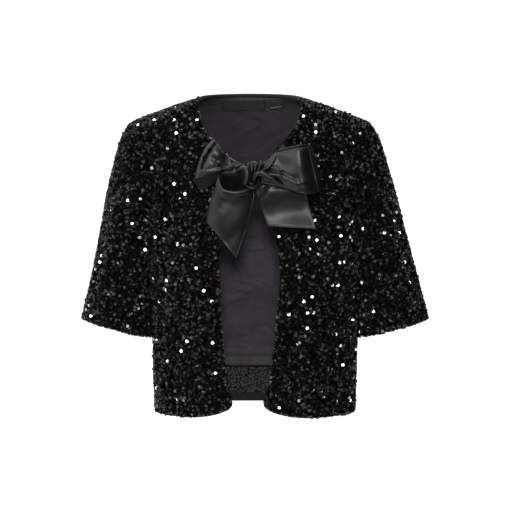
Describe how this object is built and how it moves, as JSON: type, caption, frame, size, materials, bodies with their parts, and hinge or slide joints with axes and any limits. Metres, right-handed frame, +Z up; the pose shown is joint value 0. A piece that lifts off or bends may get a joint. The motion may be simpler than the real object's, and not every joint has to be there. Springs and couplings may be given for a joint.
{
  "type": "sequinned cropped cardigan",
  "caption": "Open-front cropped jacket of sequinned cloth in its worn shape, with flared half sleeves, a lined back and a wide satin ribbon tied in a bow at the neck.",
  "frame": {"origin": "middle of the neck opening, level with the shoulder seams' neck ends, where the wearer's shoulders and neck hold the garment", "axes": "+X to the wearer's left, +Y to the wearer's back, +Z up"},
  "size_m": [0.55, 0.231, 0.5051],
  "materials": {
    "sequin_cloth": "black flat sequins sewn all over a black knitted ground",
    "lining": "smooth dark charcoal lining with a low sheen",
    "satin": "black satin ribbon with broad soft highlights",
    "tape": "matt black woven tape",
    "label": "black satin label with nothing on it"
  },
  "bodies": {
    "root": {"back": "sequin_cloth", "front_left": "sequin_cloth", "front_right": "sequin_cloth", "sleeve_left": "sequin_cloth", "sleeve_right": "sequin_cloth", "lining_back": "lining", "hem_tape_back": "tape", "neck_binding": "tape", "neck_label": "label", "size_label": "label", "tie_left": "satin", "tie_right": "satin", "knot": "satin", "loop_left": "satin", "loop_right": "satin", "tail_left": "satin", "tail_right": "satin"}
  },
  "joints": []
}
